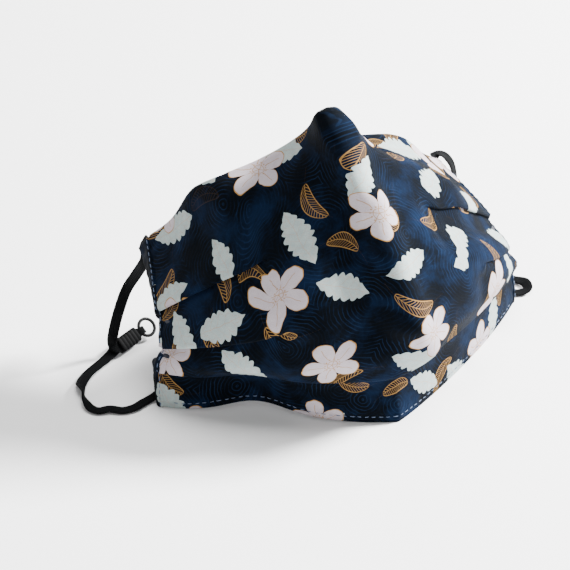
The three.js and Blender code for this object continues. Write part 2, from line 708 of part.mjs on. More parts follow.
// The pieces, moved so that the cloth stands centred on the origin
const pieces = [{ name: 'pleated_panel', geometry: pleatedPanelGeometry(), finish: cloth }];
hems.forEach((hem) => pieces.push({ name: `${hem.side}_side_hem`, geometry: hemGeometry(hem), finish: hemCloth }));
const clothBox = new THREE.Box3();
pieces.forEach(({ geometry }) => {
  geometry.computeBoundingBox();
  clothBox.union(geometry.boundingBox);
});
const centre = clothBox.getCenter(new THREE.Vector3());
loops.forEach((loop, index) => {
  const { side, sleeve } = loop;
  const band = bandGeometry(loopPoints(loop, hems[index]));
  pieces.push({ name: `${side}_ear_loop`, geometry: band, finish: elastic });
  pieces.push({ name: `${side}_adjuster_sleeve`, geometry: sleeveGeometry(sleeve), finish: softPlastic });
  pieces.push({ name: `${side}_adjuster_ring`, geometry: ringGeometry(sleeve), finish: hardPlastic });
});

const mask = new THREE.Group();
pieces.forEach(({ name, geometry, finish }) => {
  geometry.translate(-centre.x, -centre.y, 0);
  const mesh = new THREE.Mesh(geometry, new THREE.MeshStandardMaterial(finish));
  mesh.name = name;
  mask.add(mesh);
});

export default mask;
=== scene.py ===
# A pleated cloth face mask in its worn, opened shape, standing on its lower edge.
# The pieces are made here in millimetres, in the same way as the CAD part, and put into the row
# frame in metres by mesh_object().
import math

import bpy
import numpy as np
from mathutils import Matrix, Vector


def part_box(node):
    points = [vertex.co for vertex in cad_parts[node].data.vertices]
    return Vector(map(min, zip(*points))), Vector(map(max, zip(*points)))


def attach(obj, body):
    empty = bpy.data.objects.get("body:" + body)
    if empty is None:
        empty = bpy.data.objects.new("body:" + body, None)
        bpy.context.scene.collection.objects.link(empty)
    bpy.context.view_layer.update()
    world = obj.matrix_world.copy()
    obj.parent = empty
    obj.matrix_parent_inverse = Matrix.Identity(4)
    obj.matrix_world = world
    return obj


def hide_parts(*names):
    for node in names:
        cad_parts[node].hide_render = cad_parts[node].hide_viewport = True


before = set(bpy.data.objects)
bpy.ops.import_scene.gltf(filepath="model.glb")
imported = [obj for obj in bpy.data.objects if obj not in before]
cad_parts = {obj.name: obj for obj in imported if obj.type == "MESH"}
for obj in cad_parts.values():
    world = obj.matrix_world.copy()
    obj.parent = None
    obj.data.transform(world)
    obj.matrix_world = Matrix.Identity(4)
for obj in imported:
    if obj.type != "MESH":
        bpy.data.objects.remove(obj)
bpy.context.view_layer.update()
METRES = 0.001      # in a millimetre

# Camera and framing, from the photograph's viewing angle
CAMERA_AZIMUTH = -26.0
CAMERA_ELEVATION = 36.0
CAMERA_DISTANCE = 1150.0
CAMERA_TARGET = (0.6, 52.2, -1.2)
FOCAL_PIXELS = 2840.0
FRAME_PIXELS = 570.0
SENSOR_WIDTH = 36.0

# Driving dimensions in millimetres. They are the part's, but the cloth, its folds and the casings
# are slightly thinner here, and the front crease and its dent slightly stronger.
FOOT_WIDTH = 156.0
CHIN_REACH = 47.0
PEAK_HEIGHT = 112.0
CORNER_BACK = 42.0
PLEAT_DEPTH = 11.0
OPEN_SPAN = 9.0
TOP_TURN = 6.0
LOWER_ARCH = 3.5
ARCH_CENTRE = -0.58
ARCH_SPREAD = 0.27
CLOTH_WALL = 0.8
FOLD_GAP = 0.15
HEM_WIDTH = 7.6
HEM_THICKNESS = 3.0
HEM_GAP = 0.5
HEM_LIFT = 8.0
BAND_WIDTH = 4.2
BAND_THICKNESS = 0.8
STRAND_SPACING = 1.7
CHANNEL_SLACK = 0.5
PIECE_GAP = 0.3
HEM_ENTRY = 5.0
BAND_LEAD = 1.2
SLEEVE_LENGTH = 9.6
SLEEVE_WALL = 0.7
SLEEVE_RIBS = 6
RING_DIAMETER = 8.2
RING_WIRE = 1.3
FOLD_SHARE = 0.75
WIRE_STANDOFF = 2.1
HEM_BEND_SHARE = 0.35       # of a casing's thickness, straight before it turns
CHANNEL_PLACE_SHARE = 0.4   # of the room beside the channel, left on its inner side
SLEEVE_MOUTH = 3.0          # how far the inside of a sleeve is modelled from its end
SLEEVE_LIP = 0.15

# Small forms of sewn and worn cloth, in millimetres
WAVE_HEIGHT = 0.42
PUCKER_HEIGHT = 0.16
HEM_PUCKERS = (1.5, 5.2, 4.5)       # distance from the seam, wave and reach, beside a casing
EDGE_PUCKERS = (2.5, 5.6, 4.0)      # the same above the lower edge
HEM_GATHER = 0.12
GATHER_WAVE = 5.2
EDGE_SEAM = 2.6                     # topstitching above the lower edge
EDGE_EASE = 3.0                     # where the waves fade out above the lower edge
STITCH_LENGTH = 1.9
STITCH_GAP = 0.9
STITCH_WIDTH = 0.17
STITCH_HEIGHT = 0.15
# a casing's edge on the cloth and its seam: out from the cloth's side and up out of the cloth
HEM_EDGE = ((-0.2, -0.1), (0.15, 0.1), (0.5, 0.22), (0.95, 0.18))
HEM_STITCH = (0.95, 0.2)
# half of the elastic's fold over the ring: lengths past the wire and shares of the fold's height
HALF_FOLD = ((-0.5, 1.02), (0.8, 0.92), (1.5, 0.5))
FOLD_END = 1.75

HALF_WIDTH = FOOT_WIDTH / 2
PITCH = CLOTH_WALL + FOLD_GAP

# Flat size of the cloth, and millimetres of cloth and of elastic for one unit of their UV maps
FLAT_WIDTH = 194.0
FLAT_HEIGHT = 145.0
CLOTH_UV_UNIT = 100.0
BAND_UV_UNIT = 10.0

# reach, rise, hem out, hem back, hem rise, bow, fan, shift, lift: see the part's cross lines
CROSS_LINES = np.array([
    [-0.06, 1.0, 0.8, 1.0, 0.43, 0.95, 0.0, -0.09, 0],
    [0.25, 0.87, 0.86, 0.64, 0.38, 1.12, 0.08, -0.07, 0],
    [0.55, 0.71, 0.92, 0.3, 0.32, 1.3, 0.2, -0.05, 0.025],
    [0.79, 0.58, 0.94, 0.16, 0.275, 1.4, 0.28, -0.03, 0.03],
    [0.95, 0.44, 0.96, 0.06, 0.23, 1.5, 0.3, -0.01, 0.035],
    [1.0, 0.3, 0.98, 0.03, 0.19, 1.5, 0.27, 0, 0.03],
    [0.98, 0.165, 0.99, 0.01, 0.145, 1.3, 0.15, 0, 0.03],
    [1.0, 0.0, 0.98, 0.0, 0.0, 1.12, 0.12, 0, 0],
])
LAST_LINE = len(CROSS_LINES) - 1
LINE_STRETCH = 1.4          # of a crease's width across the cloth, taken down it

# line, depth, left open, left shut, right open, right shut, middle
PLEATS = [
    (2, 1.0, 0.3, 0.58, 0.26, 0.5, 0.0),
    (4, 1.0, 0.22, 0.6, 0.36, 0.72, 0.0),
    (6, 0.72, 0.1, 0.75, 0.1, 0.75, 0.62),
]

# across from and to, line from and to, width, height of each ridge or dent
CREASES = [
    (-0.01, 0.02, -0.4, 1.6, 0.08, 0.033),      # nose ridge
    (0.04, 0.6, 0.5, 1.45, 0.11, 0.04),         # right cheek ridge
    (0.18, 0.3, -0.4, 0.2, 0.11, -0.045),       # hollow right of the nose
    (-0.13, -0.34, -0.2, 0.3, 0.1, -0.035),     # hollow left of the nose
    (0.6, 0.66, -0.2, 0.2, 0.13, 0.03),         # swell of the right top edge
    (0.05, 0.04, 1.9, 4.3, 0.08, 0.038),        # front crease
    (0.04, 0.13, 4.3, 5.4, 0.09, 0.035),        # front crease, lower end
    (-0.1, -0.09, 1.8, 4.3, 0.11, -0.05),       # dent beside the front crease
    (-0.65, -0.55, 0.0, 0.4, 0.15, 0.07),       # swell of the left top edge
    (0.5, 0.8, 2.45, 2.6, 0.14, -0.03),         # pocket under the right pleat
    (-0.6, -0.55, 6.6, 7.6, 0.17, -0.05),       # slack of the lower edge
]

# side, across, turned at the top and at the lower end
HEMS = {
    "left": (-1.0, 0.2, 0.7),
    "right": (1.0, 0.05, 0.4),
}

# Listed points of the elastic: its middle, in millimetres, and where its flat face looks
LOOPS = {
    "left": {
        "upper": [
            (-62.8, 46.9, 44.2, -0.8, 0.3, 0.6), (-61.9, 48.0, 42.4, -0.2, 0.9, 0.4),
            (-61.8, 47.9, 39.8, 0.5, 0.9, 0), (-62.8, 46.0, 37.0, 0.8, 0.6, 0),
            (-65.2, 43.4, 35.0, 0.7, 0.7, -0.2), (-68.9, 41.4, 32.6, 0.6, 0.8, -0.2),
            (-73.3, 40.0, 28.6, 0.5, 0.9, -0.2), (-77.7, 38.8, 19.6, -0.5, -0.9, 0.1),
            (-80.4, 38.8, 9.5, -0.5, -0.8, 0.2), (-81.2, 38.2, 5.6, -0.7, -0.3, 0.7),
        ],
        "start": (-78.4, 38.1, 3.4),
        "axis": (0.93, 0.35, 0.085),
        "face": (0.16, -0.66, 0.72),
        "lower": [
            (-82.5, 36.9, 1.8, 0.1, -0.3, 1), (-86.9, 35.0, 0.9, 0, 0, 1),
            (-93.4, 31.6, 0.7, 0, 0, 1), (-97.7, 28.0, 0.9, 0.1, -0.1, 1),
            (-100.8, 23.6, 1.8, 0.6, 0.3, 0.8), (-102.0, 18.2, 2.6, 1, 0.1, 0.1),
            (-102.5, 14.0, 1.8, 0.6, -0.2, 0.8), (-102.1, 10.3, 0.9, 0.1, 0, 1),
            (-100.0, 7.7, 0.7, 0, 0, 1), (-96.0, 6.6, 1.0, 0, 0, 1),
            (-91.6, 3.9, 0.7, 0, 0, 1), (-87.0, 3.4, 0.8, 0, 0, 1),
            (-83.0, 4.8, 0.7, 0, 0, 1), (-79.6, 5.7, 0.8, -0.1, 0, 1),
            (-77.3, 5.8, 1.6, -0.7, 0, 0.7),
        ],
    },
    "right": {
        "upper": [
            (65.2, 47.4, 46.0, 0.4, 0.3, 0.8), (68.0, 47.8, 45.6, 0.2, -0.1, 1),
            (70.8, 47.2, 43.4, 0.5, -0.6, 0.6), (72.4, 45.6, 40.2, 0.6, -0.8, 0.2),
            (72.2, 43.0, 35.6, 0.5, -0.9, 0), (70.0, 39.2, 28.0, 0.5, -0.9, 0),
            (66.0, 35.6, 19.0, 0.4, -0.9, 0.2), (62.2, 32.8, 9.5, 0.4, -0.8, 0.3),
            (60.6, 31.2, 5.6, 0.6, -0.3, 0.7),
        ],
        "start": (58.4, 30.4, 3.2),
        "axis": (-0.94, -0.33, 0.085),
        "face": (-0.12, 0.2, 0.97),
        "lower": [
            (62.0, 30.6, 1.8, -0.1, -0.2, 1), (66.4, 29.6, 0.8, 0, 0, 1),
            (73.0, 26.0, 0.7, 0, 0, 1), (79.4, 19.6, 0.7, 0, 0, 1),
            (84.4, 12.8, 0.9, 0, 0, 1), (86.8, 7.8, 1.6, -0.5, 0, 0.9),
            (85.6, 3.8, 1.2, -0.3, 0.2, 0.9), (82.6, 3.8, 0.7, 0, 0, 1),
            (80.2, 5.0, 0.8, 0.1, 0, 1), (78.6, 6.0, 1.6, 0.7, 0, 0.7),
        ],
    },
}

# Resolution of the dressed pieces
SECTIONS = 177
PLACES = 421
SPAN_STEPS = 9
HEM_STEPS = 14
CHANNEL_STEPS = 5
NEAREST_STOP = 0.8      # between two stops of the elastic in a casing
BAND_STEP = 0.8
RNG = np.random.default_rng(7)


def smooth(value):
    t = np.clip(value, 0.0, 1.0)
    return t * t * (3 - 2 * t)


def unit(v):
    return v / np.maximum(np.linalg.norm(v, axis=-1, keepdims=True), 1e-9)


def run_of(points):
    """Length along a line of points, from its first one."""
    return np.concatenate([[0], np.cumsum(np.linalg.norm(np.diff(points, axis=0), axis=1))])


def read_off(wanted, places, values):
    """Rows of values at the wanted places."""
    return np.stack([np.interp(wanted, places, values[:, k]) for k in range(3)], -1)


# The cloth's surface, as in the part

def line_points(across):
    points = []
    side = np.abs(across)
    for reach, rise, hem_out, hem_back, hem_rise, bow, fan, shift, lift in CROSS_LINES:
        fall = side ** bow
        spread = (1 + fan) * across - fan * across * side * side
        x = HALF_WIDTH * (hem_out * spread + shift * (1 - fall))
        y = -CHIN_REACH * reach * (1 - fall) + CORNER_BACK * hem_back * fall
        right = lift * np.sin(np.pi * np.clip(across, 0, 1))
        z = PEAK_HEIGHT * (rise * (1 - fall) + hem_rise * fall + right)
        points.append(np.stack([x, y, z], -1))
    first = 2 * points[0] - points[1]
    last = 2 * points[-1] - points[-2]
    return np.stack([first, *points, last])


def plain_point(across, place):
    place = np.clip(place, 0, LAST_LINE)
    lines = line_points(across)
    start = np.minimum(LAST_LINE - 1, np.floor(place)).astype(int)
    t = place - start
    weights = [
        -0.5 * t + t * t - 0.5 * t ** 3,
        1 - 2.5 * t * t + 1.5 * t ** 3,
        0.5 * t + 2 * t * t - 1.5 * t ** 3,
        -0.5 * t * t + 0.5 * t ** 3,
    ]
    total = np.zeros(across.shape + (3,))
    for offset, weight in enumerate(weights):
        index = np.repeat((start + offset)[None, ..., None], 3, -1)
        total += weight[..., None] * np.take_along_axis(lines, index, 0)[0]
    return total


def crease_height(across, place):
    height = np.zeros_like(across)
    for from_across, to_across, from_line, to_line, width, rise in CREASES:
        span_across = to_across - from_across
        span_line = (to_line - from_line) / LAST_LINE
        off_across = across - from_across
        off_line = (place - from_line) / LAST_LINE
        along = off_across * span_across + off_line * span_line
        along = np.clip(along / (span_across ** 2 + span_line ** 2), 0, 1)
        off_line = (off_line - along * span_line) * LINE_STRETCH
        off = np.hypot(off_across - along * span_across, off_line) / width
        height += rise * PEAK_HEIGHT * np.exp(-off * off)
    return height


def outward(surface, across, place):
    step_across = 0.01
    step_place = 0.05
    before = np.minimum(LAST_LINE - 2 * step_place, np.maximum(0, place - step_place))
    along = surface(np.minimum(1, across + step_across), place)
    along = along - surface(np.maximum(-1, across - step_across), place)
    down = surface(across, before + 2 * step_place) - surface(across, before)
    return unit(np.cross(down, along))


def cloth_point(across, place):
    point = plain_point(across, place)
    point = point + outward(plain_point, across, place) * crease_height(across, place)[..., None]
    arch = (across - ARCH_CENTRE) / ARCH_SPREAD
    near_edge = smooth((place - LAST_LINE + 1.8) / 1.8)
    point[..., 2] += LOWER_ARCH * np.exp(-arch * arch) * near_edge
    return point


class Section:
    """One run of the cloth from the top edge to the lower edge, at one place across."""

    def __init__(self, across, points, normals):
        self.across = across
        self.points = points
        self.normals = normals
        self.lengths = run_of(points)
        self.length = self.lengths[-1]

    def at(self, along):
        along = np.asarray(along, float)
        inside = np.clip(along, 0, self.length)
        point = read_off(inside, self.lengths, self.points)
        normal = read_off(inside, self.lengths, self.normals)
        first = unit(self.points[1] - self.points[0])
        last = unit(self.points[-1] - self.points[-2])
        over = (along - inside)[..., None]
        point = point + np.where(over < 0, over * first, over * last)
        return point, unit(normal)

    def length_at(self, line):
        return np.interp(line, np.linspace(0, LAST_LINE, len(self.lengths)), self.lengths)


def make_sections(count):
    across, place = np.meshgrid(
        np.linspace(-1, 1, count), np.linspace(0, LAST_LINE, PLACES), indexing="ij")
    points = cloth_point(across, place)
    normals = outward(cloth_point, across, place)
    return [Section(a, p, n) for a, p, n in zip(across[:, 0], points, normals)]


def pleat_shut(pleat, across):
    _, _, left_open, left_shut, right_open, right_shut, middle = pleat
    opens, shut = (left_open, left_shut) if across < 0 else (right_open, right_shut)
    return middle + (1 - middle) * float(smooth((abs(across) - opens) / (shut - opens)))


def fold_of(section, pleat):
    shut = pleat_shut(pleat, section.across)
    closing = float(smooth((shut - 0.3) / 0.7))
    depth = PLEAT_DEPTH * pleat[1] * closing
    return {
        "place": section.length_at(pleat[0]),
        "depth": depth,
        "step": PITCH * float(smooth(shut / 0.35)),
        "spread": OPEN_SPAN * (1 - closing),
        "round": min(PITCH / 2, depth / 2),
    }


def span_stops(start, end, start_height, steps):
    t = np.arange(steps) / steps
    stops = np.stack([start + (end - start) * t, start_height * (1 - smooth(t * 1.2))], -1)
    return np.vstack([stops, [end, 0]])


def visible_panels(section, folds, steps):
    panels = []
    start = 0.0
    start_height = 0.0
    for index, fold in enumerate(folds):
        count = steps * 2 if index == 0 else steps
        end = fold["place"] - fold["round"] - fold["spread"] * 0.5
        panels.append(span_stops(start, end, start_height, count))
        start = fold["place"] + fold["spread"] * 0.7
        start_height = -fold["step"] * 2
    panels.append(span_stops(start, section.length, start_height, steps))
    return panels


def section_path(section):
    """The cloth's middle layer: lengths along the section and heights out of it."""
    curl = [
        (TOP_TURN * 0.1, -TOP_TURN),
        (-TOP_TURN * 0.28, -TOP_TURN * 0.68),
        (-TOP_TURN * 0.3, -TOP_TURN * 0.25),
    ]
    folds = [fold_of(section, pleat) for pleat in PLEATS]
    path = [np.array(curl)]
    for index, stops in enumerate(visible_panels(section, folds, SPAN_STEPS)):
        path.append(stops)
        if index < len(folds):
            place, depth, step, spread, bend = folds[index].values()
            path.append(np.array([
                (place - spread * 0.3, -step * 0.5),
                (place - bend - spread * 0.1, -step),
                (place - depth * 0.5, -step),
                (place - depth + bend + spread * 0.1, -step),
                (place - depth + spread * 0.3, -step * 1.5),
                (place - depth + bend + spread * 0.5, -step * 2),
            ]))
    return np.vstack(path)


def chaikin(points, rounds):
    """Cuts the corners of an open line of points, keeping its ends."""
    for _ in range(rounds):
        near = points[:-1] * 0.75 + points[1:] * 0.25
        far = points[:-1] * 0.25 + points[1:] * 0.75
        between = np.stack([near, far], 1).reshape(-1, points.shape[1])
        points = np.vstack([points[:1], between[1:-1], points[-1:]])
    return points


# Soft small unevenness of worn cloth: a few waves over the flat cloth, in millimetres

WAVES = [
    (RNG.uniform(0, 2 * np.pi), 2 * np.pi / RNG.uniform(13, 34),
     RNG.uniform(0, 2 * np.pi), RNG.uniform(0.5, 1))
    for _ in range(11)
]


def unevenness(x, y):
    total = np.zeros_like(x)
    for turn, rate, phase, weight in WAVES:
        total += weight * np.sin((x * math.cos(turn) + y * math.sin(turn)) * rate + phase)
    return total / len(WAVES)


def puckers(along, off, seam, wave, reach):
    """Short gathers along a seam, which lies that far off the edge."""
    waves = np.sin(along * 2 * np.pi / wave + 1.7 * np.sin(along / 9))
    return waves * np.exp(-((off - seam) / reach) ** 2)


# Meshes

def new_object(name, data):
    obj = bpy.data.objects.new(name, data)
    bpy.context.scene.collection.objects.link(obj)
    return obj


def mesh_object(name, points, faces, uv=None, material_index=None):
    """points in millimetres in the part's own frame; uv one pair for each corner of each face."""
    mesh = bpy.data.meshes.new(name)
    vertices = (np.asarray(points) + OFFSET) * METRES
    mesh.from_pydata(vertices.tolist(), [], [list(map(int, f)) for f in faces])
    if uv is not None:
        layer = mesh.uv_layers.new(name="UVMap")
        layer.data.foreach_set("uv", np.asarray(uv, float).ravel())
    if material_index is not None:
        mesh.polygons.foreach_set("material_index", np.asarray(material_index, dtype=np.int32))
    mesh.polygons.foreach_set("use_smooth", [True] * len(mesh.polygons))
    mesh.update()
    return new_object(name, mesh)


def grid_faces(rows, columns, wrap=False, start=0):
    stops = columns if wrap else columns - 1
    row, column = np.meshgrid(np.arange(rows - 1), np.arange(stops), indexing="ij")
    nxt = (column + 1) % columns
    a = start + row * columns + column
    b = start + row * columns + nxt
    c = start + (row + 1) * columns + nxt
    d = start + (row + 1) * columns + column
    return np.stack([a, b, c, d], -1).reshape(-1, 4)


def sweep(name, rings, rates):
    """A closed solid through rings of points, with flat ends. rates is the uv of each ring."""
    rings = np.asarray(rings)
    count, size = rings.shape[:2]
    faces = grid_faces(count, size, wrap=True)
    around = np.arange(size) / size
    u = np.repeat(np.asarray(rates)[:, None], size, 1)
    v = np.repeat(around[None, :], count, 0)
    flat = np.stack([u, v], -1).reshape(-1, 2)
    uv = flat[faces.ravel()]
    wrapped = (faces % size == 0).ravel() & np.repeat((faces % size == size - 1).any(1), 4)
    uv[wrapped, 1] = 1.0
    first = list(range(size))[::-1]
    last = [(count - 1) * size + k for k in range(size)]
    uv = np.vstack([uv, flat[first], flat[last]])
    return mesh_object(name, rings.reshape(-1, 3), [*faces.tolist(), first, last], uv)


# The pleated cloth

def panel():
    sections = make_sections(SECTIONS)
    outer, inner, coordinates = [], [], []
    for section in sections:
        path = chaikin(section_path(section), 2)
        run = run_of(path)
        flat_x = np.full_like(run, section.across * FLAT_WIDTH / 2)
        flat_y = run * FLAT_HEIGHT / run[-1]
        to_hem = (1 - abs(section.across)) * FLAT_WIDTH / 2
        to_edge = run[-1] - run
        lift = WAVE_HEIGHT * unevenness(flat_x, flat_y)
        lift += PUCKER_HEIGHT * puckers(run, to_hem, *HEM_PUCKERS)
        lift += PUCKER_HEIGHT * puckers(flat_x, to_edge, *EDGE_PUCKERS)
        lift *= smooth(to_edge / EDGE_EASE)
        path[:, 1] += lift
        before = np.vstack([path[:1], path[:-1]])
        after = np.vstack([path[1:], path[-1:]])
        heading = unit(unit(path - before) + unit(after - path))
        rows = []
        for side in (CLOTH_WALL / 2, -CLOTH_WALL / 2):
            point, normal = section.at(path[:, 0] - heading[:, 1] * side)
            rows.append(point + normal * (path[:, 1] + heading[:, 0] * side)[:, None])
        rows[0][-1, 2] = rows[1][-1, 2] = section.points[-1][2]
        outer.append(rows[0])
        inner.append(rows[1])
        coordinates.append(np.stack([flat_x, flat_y], -1))
    columns = len(outer[0])
    count = SECTIONS * columns
    points = np.vstack([np.concatenate(outer), np.concatenate(inner)])
    flat = np.concatenate(coordinates) / CLOTH_UV_UNIT
    flat = np.vstack([flat, flat])
    front = grid_faces(SECTIONS, columns)[:, ::-1]
    back = grid_faces(SECTIONS, columns, start=count)
    rim = []
    place = np.arange(count).reshape(SECTIONS, columns)
    for edge in (place[0, ::-1], place[-1], place[:, 0], place[::-1, -1]):
        rim += [[a, b, b + count, a + count] for a, b in zip(edge, edge[1:])]
    faces = np.vstack([front, back, np.array(rim)])[:, ::-1]
    material_index = np.concatenate([np.zeros(len(front)), np.ones(len(back)), np.zeros(len(rim))])
    uv = flat[faces.ravel()]
    return mesh_object("mask_cloth", points, faces, uv, material_index=material_index), sections


# The stitched casings

def hem_section(turned):
    """Outline of a casing, out from the cloth's side and up out of it, and its channel's middle."""
    angle = turned * math.pi / 2
    half = HEM_THICKNESS / 2
    bend_start = HEM_THICKNESS * HEM_BEND_SHARE
    pivot = np.array([HEM_GAP + bend_start, -half])
    heading = np.array([math.cos(angle), -math.sin(angle)])
    face = np.array([math.sin(angle), math.cos(angle)])
    reach = HEM_WIDTH - bend_start

    def spot(along, up):
        return pivot + heading * along + face * up

    outline = [np.array(edge_spot) for edge_spot in HEM_EDGE]
    for share in (0.2, 0.45, 0.7, 1.0):
        turn = angle * share
        outline.append(pivot + np.array([math.sin(turn), math.cos(turn)]) * half)
    outline += [spot(reach * s, half) for s in (0.25, 0.5, 0.72)]
    end = half * 0.8
    for turn in (1.1, 0.65, 0.22, -0.22, -0.65, -1.1):
        outline.append(spot(reach - end + end * math.cos(turn), half * math.sin(turn)))
    outline += [spot(reach * s, -half) for s in (0.72, 0.5, 0.25)]
    outline += [spot(0.6, -half * 0.92), np.array([-0.1, -half * 1.2])]
    channel_start = (reach - BAND_WIDTH - 2 * CHANNEL_SLACK) * CHANNEL_PLACE_SHARE
    return np.array(outline), spot(channel_start + BAND_WIDTH / 2 + CHANNEL_SLACK, 0), face


def hem_frames(side, section, steps):
    """Frames along one hem, at the stops of the cloth beside it."""
    across, top_turned, low_turned = HEMS[side]
    folds = [fold_of(section, pleat) for pleat in PLEATS]
    stops = chaikin(np.vstack(visible_panels(section, folds, steps)), 1)
    frames = []
    for along, height in stops:
        point, normal = section.at(along)
        ahead = unit(section.at(along + 0.5)[0] - section.at(along - 0.5)[0])
        out = unit(np.cross(ahead, normal))
        if out[0] * across < 0:
            out = -out
        turned = top_turned + (low_turned - top_turned) * math.sqrt(along / section.length)
        frames.append((point, normal, out, height + CLOTH_WALL / 2, turned, along))
    return frames


def hem_point(frame_at, spot, last):
    point, normal, out, up, _, _ = frame_at
    place = point + out * spot[0] + normal * (spot[1] + up)
    if last:
        place[2] = 0
    lift = max(0.0, HEM_LIFT * -spot[1] / HEM_WIDTH)
    place[2] += lift * max(0.0, 1 - place[2] / (2 * HEM_LIFT))
    return place


def hem(side, section):
    frames = hem_frames(side, section, HEM_STEPS)
    across = HEMS[side][0]
    rings = []
    for index, frame_at in enumerate(frames):
        outline, _, face = hem_section(frame_at[4])
        along = frame_at[5]
        gather = HEM_GATHER * math.sin(along * 2 * math.pi / GATHER_WAVE)
        spread = np.linspace(0, 1, len(outline))
        shaped = [spot + face * gather * math.sin(math.pi * s) for spot, s in zip(outline, spread)]
        rings.append([hem_point(frame_at, spot, index == len(frames) - 1) for spot in shaped])
    rings = np.array(rings)
    count, size = rings.shape[:2]
    faces = grid_faces(count, size, wrap=True)
    steps = np.linalg.norm(np.roll(rings, -1, 1) - rings, axis=2)[:, :size - 1]
    around = np.concatenate([np.zeros((count, 1)), np.cumsum(steps, 1)], 1)
    flat_x = across * (FLAT_WIDTH / 2 + around)
    runs = np.array([frame_at[5] for frame_at in frames])
    path_run = chaikin(section_path(section), 2)
    run = run_of(path_run)
    # flat place of each stop: where the cloth's path last passes it
    flat_y = np.array([run[np.nonzero(path_run[:, 0] <= r + 1e-6)[0][-1]] for r in runs])
    flat_y = np.maximum.accumulate(flat_y) * FLAT_HEIGHT / run[-1]
    flat = np.stack([flat_x, np.repeat(flat_y[:, None], size, 1)], -1).reshape(-1, 2)
    flat = flat / CLOTH_UV_UNIT
    first = list(range(size))
    last = [(count - 1) * size + k for k in range(size)]
    if across > 0:
        faces = faces[:, ::-1]
        caps = [first, last[::-1]]
    else:
        caps = [first[::-1], last]
    uv = np.vstack([flat[faces.ravel()], flat[caps[0]], flat[caps[1]]])
    return mesh_object(f"{side}_casing", rings.reshape(-1, 3), [*faces.tolist(), *caps], uv)


# The elastic, the sleeve and the ring

def sleeve_frame(side):
    loop = LOOPS[side]
    axis = unit(np.array(loop["axis"]))
    wide = unit(np.cross(np.array(loop["face"]), axis))
    face = np.cross(axis, wide)
    return np.array(loop["start"]), axis, wide, face


def channel_points(side, section, from_end):
    """Middle and face of the elastic inside a casing, from its end inwards."""
    frames = hem_frames(side, section, CHANNEL_STEPS)
    last_along = frames[-1][5]
    ordered = frames if from_end == "top" else frames[::-1]
    spots = []
    for frame_at in ordered:
        _, channel, face = hem_section(frame_at[4])
        middle = hem_point(frame_at, channel, frame_at[5] == last_along)
        out = unit(frame_at[2] * face[0] + frame_at[1] * face[1])
        spots.append((middle, out))
    inside = [spots[0]]
    depth = 0.0
    for before, after in zip(spots, spots[1:]):
        step = np.linalg.norm(after[0] - before[0])
        if step < NEAREST_STOP:
            continue
        if depth + step >= HEM_ENTRY:
            share = (HEM_ENTRY - depth) / step
            inside.append((before[0] + (after[0] - before[0]) * share, after[1]))
            break
        inside.append(after)
        depth += step
    lead = inside[0][0] + unit(inside[0][0] - inside[1][0]) * BAND_LEAD
    return [(lead, inside[0][1]), *inside]


def band_points(side, section):
    """Middle, face and width share of the elastic, all along one loop."""
    loop = LOOPS[side]
    start, axis, _, face = sleeve_frame(side)

    def at(along, up):
        return start + axis * along + face * up

    wire = SLEEVE_LENGTH + WIRE_STANDOFF
    fold_height = RING_WIRE / 2 + PIECE_GAP + BAND_THICKNESS / 2
    leg = STRAND_SPACING / 2
    points = [(m, f, 1.0) for m, f in channel_points(side, section, "top")[::-1]]
    points += [(np.array(row[:3]), np.array(row[3:], float), 1.0) for row in loop["upper"]]
    through = (-BAND_LEAD, SLEEVE_LENGTH / 2, SLEEVE_LENGTH)
    points += [(at(along, leg), face, 1.0) for along in through]
    other_half = [(along, -height) for along, height in HALF_FOLD[::-1]]
    for along, height in (*HALF_FOLD, (FOLD_END, 0), *other_half):
        look = face * np.sign(height) + axis * (1 - abs(height))
        points.append((at(wire + along, fold_height * height), look, FOLD_SHARE))
    points += [(at(along, -leg), -face, 1.0) for along in through[::-1]]
    points += [(np.array(row[:3]), np.array(row[3:], float), 1.0) for row in loop["lower"]]
    points += [(m, f, 1.0) for m, f in channel_points(side, section, "bottom")]
    return points


def catmull(points, knots, wanted):
    """Centripetal curve through points, at the wanted knot values."""
    points = np.vstack([2 * points[0] - points[1], points, 2 * points[-1] - points[-2]])
    knots = np.concatenate([[2 * knots[0] - knots[1]], knots, [2 * knots[-1] - knots[-2]]])
    index = np.clip(np.searchsorted(knots, wanted, side="right") - 1, 1, len(knots) - 3)
    p = [points[index + k] for k in (-1, 0, 1, 2)]
    t = [knots[index + k][:, None] for k in (-1, 0, 1, 2)]
    w = wanted[:, None]

    def mix(a, b, ta, tb):
        return a * (tb - w) / (tb - ta) + b * (w - ta) / (tb - ta)

    a1, a2, a3 = (mix(p[k], p[k + 1], t[k], t[k + 1]) for k in range(3))
    b1, b2 = mix(a1, a2, t[0], t[2]), mix(a2, a3, t[1], t[3])
    return mix(b1, b2, t[1], t[2])


